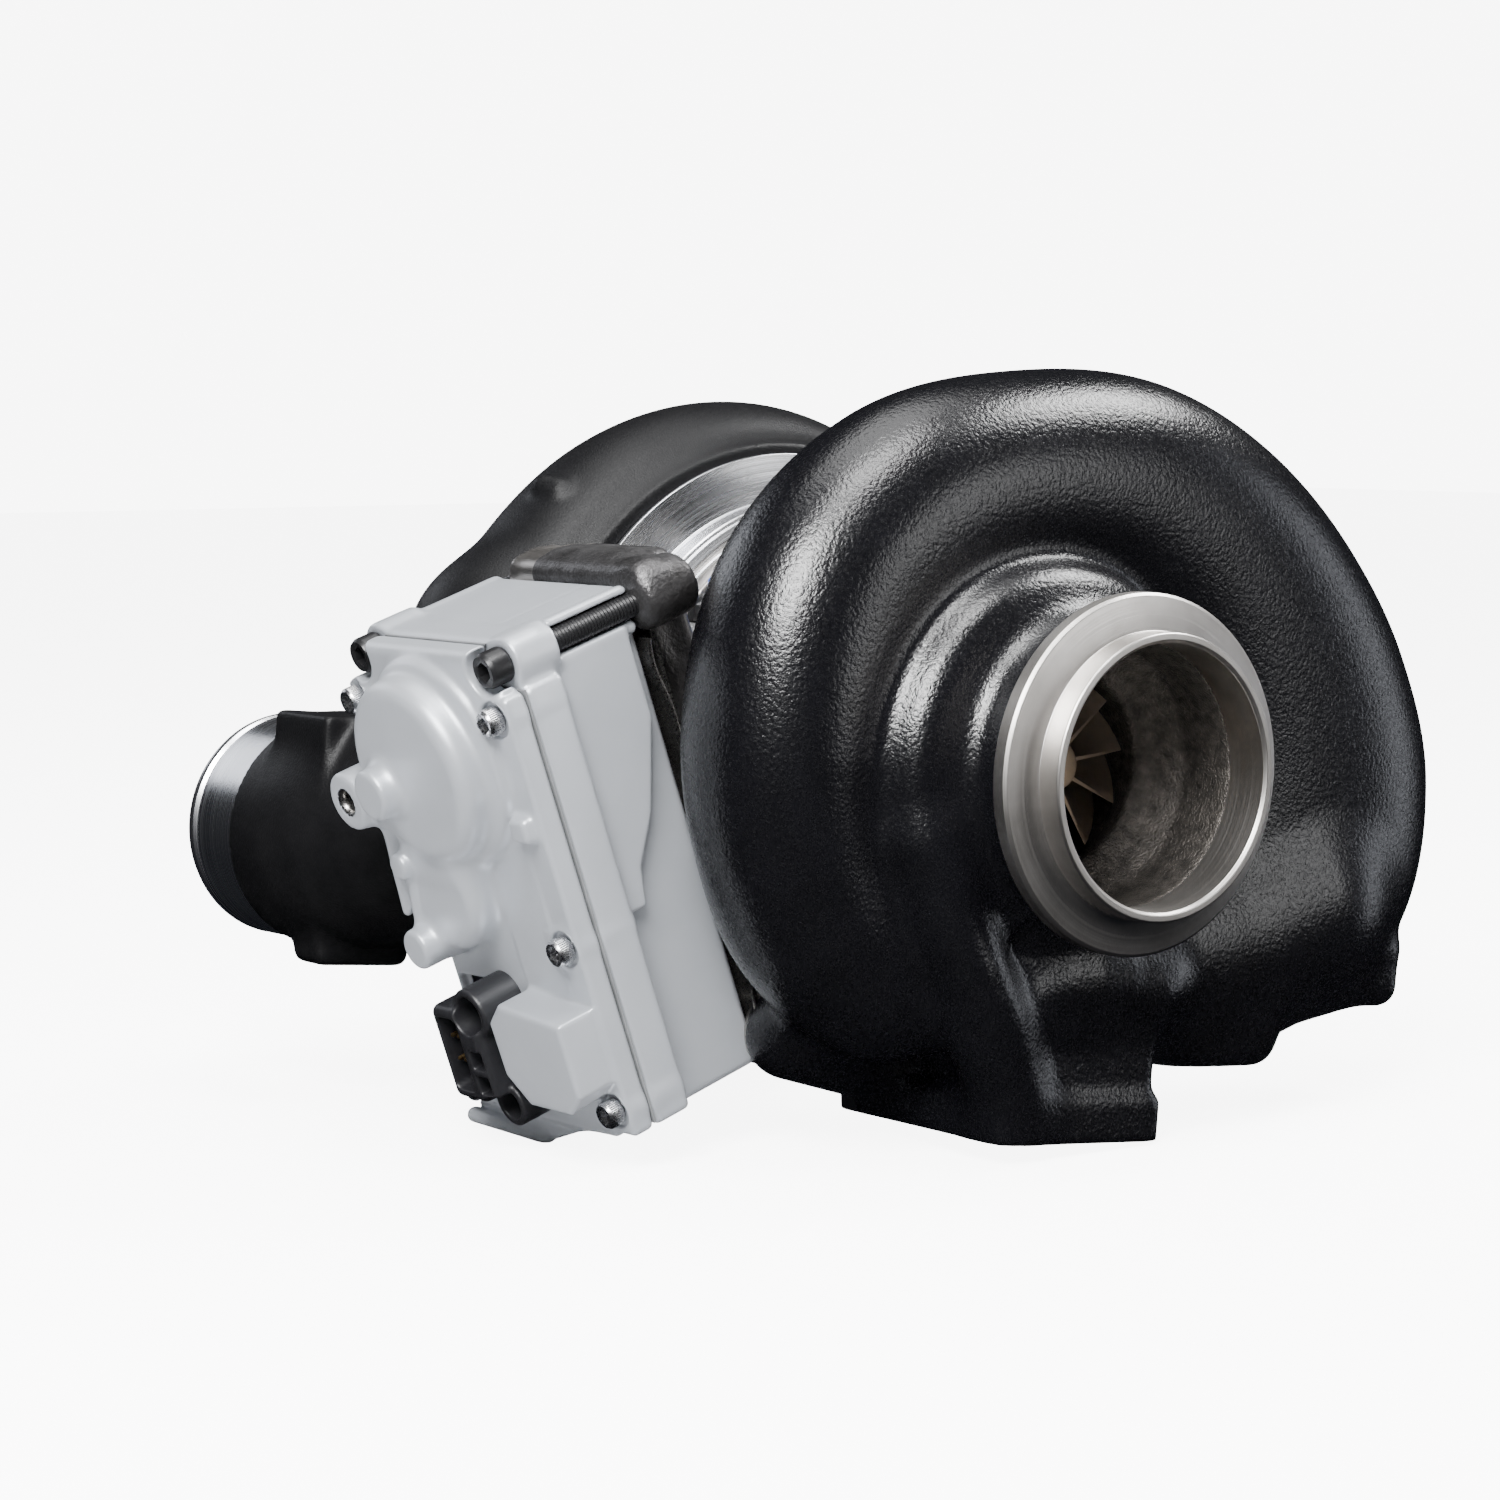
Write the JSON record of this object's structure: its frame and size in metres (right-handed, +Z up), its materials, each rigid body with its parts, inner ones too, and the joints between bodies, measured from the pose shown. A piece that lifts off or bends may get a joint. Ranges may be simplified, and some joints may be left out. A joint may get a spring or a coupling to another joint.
{
  "type": "turbocharger",
  "caption": "Exhaust-driven turbocharger with a sliding nozzle ring that a geared electric actuator moves.",
  "frame": {"origin": "on the turbine inlet flange's face, in the middle of the web between its two ports, straight below the shaft", "axes": "+Y along the shaft from the exhaust outlet to the air inlet, +Z up from the inlet flange's face, +X to the right seen from the exhaust outlet"},
  "size_m": [0.3703, 0.3119, 0.2544],
  "materials": {
    "cast_black": "gloss paint over a rough casting",
    "cover_black": "satin black coating over a fine casting",
    "dark_iron": "bare casting",
    "machined_aluminium": "machined",
    "wheel_alloy": "investment cast",
    "wheel_aluminium": "milled",
    "silver_paint": "semi-matt silver paint over a die casting",
    "steel": "machined",
    "zinc_steel": "zinc plated",
    "black_steel": "black oxide",
    "bronze": "turned",
    "winding": "laminated and wound",
    "black_plastic": "moulded",
    "blue_plastic": "moulded",
    "gasket_rubber": "moulded",
    "board_green": "laminate"
  },
  "bodies": {
    "housing": {"turbine_housing": "cast_black", "compressor_cover": "cover_black", "bearing_housing": "dark_iron", "diffuser_plate": "machined_aluminium", "oil_seal_plate": "machined_aluminium", "actuator_housing": "silver_paint", "actuator_cover": "silver_paint", "turbine_outlet_flange": "steel", "shroud_plate": "steel", "heat_shield": "steel", "turbine_clamp": "steel", "turbine_clamp_bolt": "steel", "turbine_clamp_nut": "steel", "turbine_seal_ring": "steel", "oil_inlet_adapter": "steel", "actuator_plate": "steel", "idler_pin": "steel", "motor_bearing": "steel", "cover_screw_1": "zinc_steel", "cover_screw_2": "zinc_steel", "cover_screw_3": "zinc_steel", "cover_screw_4": "zinc_steel", "cover_screw_5": "zinc_steel", "cover_screw_6": "zinc_steel", "plate_bolt_1": "black_steel", "plate_bolt_2": "black_steel", "plate_bolt_3": "black_steel", "plate_bolt_4": "black_steel", "mount_screw_1": "black_steel", "mount_screw_2": "black_steel", "mount_screw_3": "black_steel", "mount_screw_4": "black_steel", "thrust_bearing": "bronze", "cross_bush_inner": "bronze", "cross_bush_outer": "bronze", "output_bush": "bronze", "motor_stator": "winding", "connector": "black_plastic", "speed_sensor": "blue_plastic", "actuator_gasket": "gasket_rubber", "circuit_board": "board_green"},
    "rotor": {"turbine_wheel": "wheel_alloy", "compressor_wheel": "wheel_aluminium", "rotor_nut": "steel", "thrust_collar": "steel", "oil_slinger": "steel"},
    "turbine_bearing": {"journal_bearing_turbine": "bronze"},
    "compressor_bearing": {"journal_bearing_compressor": "bronze"},
    "nozzle": {"nozzle_ring": "steel", "push_rod_near": "steel", "push_rod_far": "steel"},
    "yoke_set": {"cross_shaft": "steel", "yoke": "steel", "sector_gear": "steel"},
    "output_set": {"output_shaft": "steel", "output_gear": "bronze"},
    "idler": {"idler_gear": "steel"},
    "motor": {"motor_rotor": "steel"}
  },
  "joints": [
    {"name": "motor_spin", "type": "hinge", "parent": "housing", "child": "motor", "pos_m": [0.00158, 0.063, 0.11354], "axis": [0.91, 0, 0.4147], "range_deg": [0, 702]},
    {"name": "rotor_spin", "type": "hinge", "parent": "housing", "child": "rotor", "pos_m": [0, 0.063, 0.117], "axis": [0, 1, 0], "continuous": true},
    {"name": "turbine_bearing_spin", "type": "hinge", "parent": "housing", "child": "turbine_bearing", "pos_m": [0, 0.063, 0.117], "axis": [0, 1, 0], "continuous": true},
    {"name": "compressor_bearing_spin", "type": "hinge", "parent": "housing", "child": "compressor_bearing", "pos_m": [0, 0.063, 0.117], "axis": [0, 1, 0], "continuous": true},
    {"name": "nozzle_slide", "type": "slide", "parent": "housing", "child": "nozzle", "axis": [0, -1, 0], "range_m": [0, 0.011]},
    {"name": "yoke_turn", "type": "hinge", "parent": "housing", "child": "yoke_set", "pos_m": [-0.01156, 0.063, 0.14236], "axis": [-0.91, 0, -0.4147], "range_deg": [0, 22.7]},
    {"name": "output_turn", "type": "hinge", "parent": "housing", "child": "output_set", "pos_m": [-0.02322, 0.063, 0.16796], "axis": [0.91, 0, 0.4147], "range_deg": [0, 55.9]},
    {"name": "idler_turn", "type": "hinge", "parent": "housing", "child": "idler", "pos_m": [-0.01028, 0.063, 0.13957], "axis": [-0.91, 0, -0.4147], "range_deg": [0, 167.5]}
  ],
  "couplings": [
    {"joint": "yoke_turn", "follows": "nozzle_slide", "rad_per_m": 35.912},
    {"joint": "output_turn", "follows": "nozzle_slide", "rad_per_m": 88.399},
    {"joint": "idler_turn", "follows": "nozzle_slide", "rad_per_m": 265.2},
    {"joint": "motor_spin", "follows": "nozzle_slide", "rad_per_m": 1113.8}
  ]
}
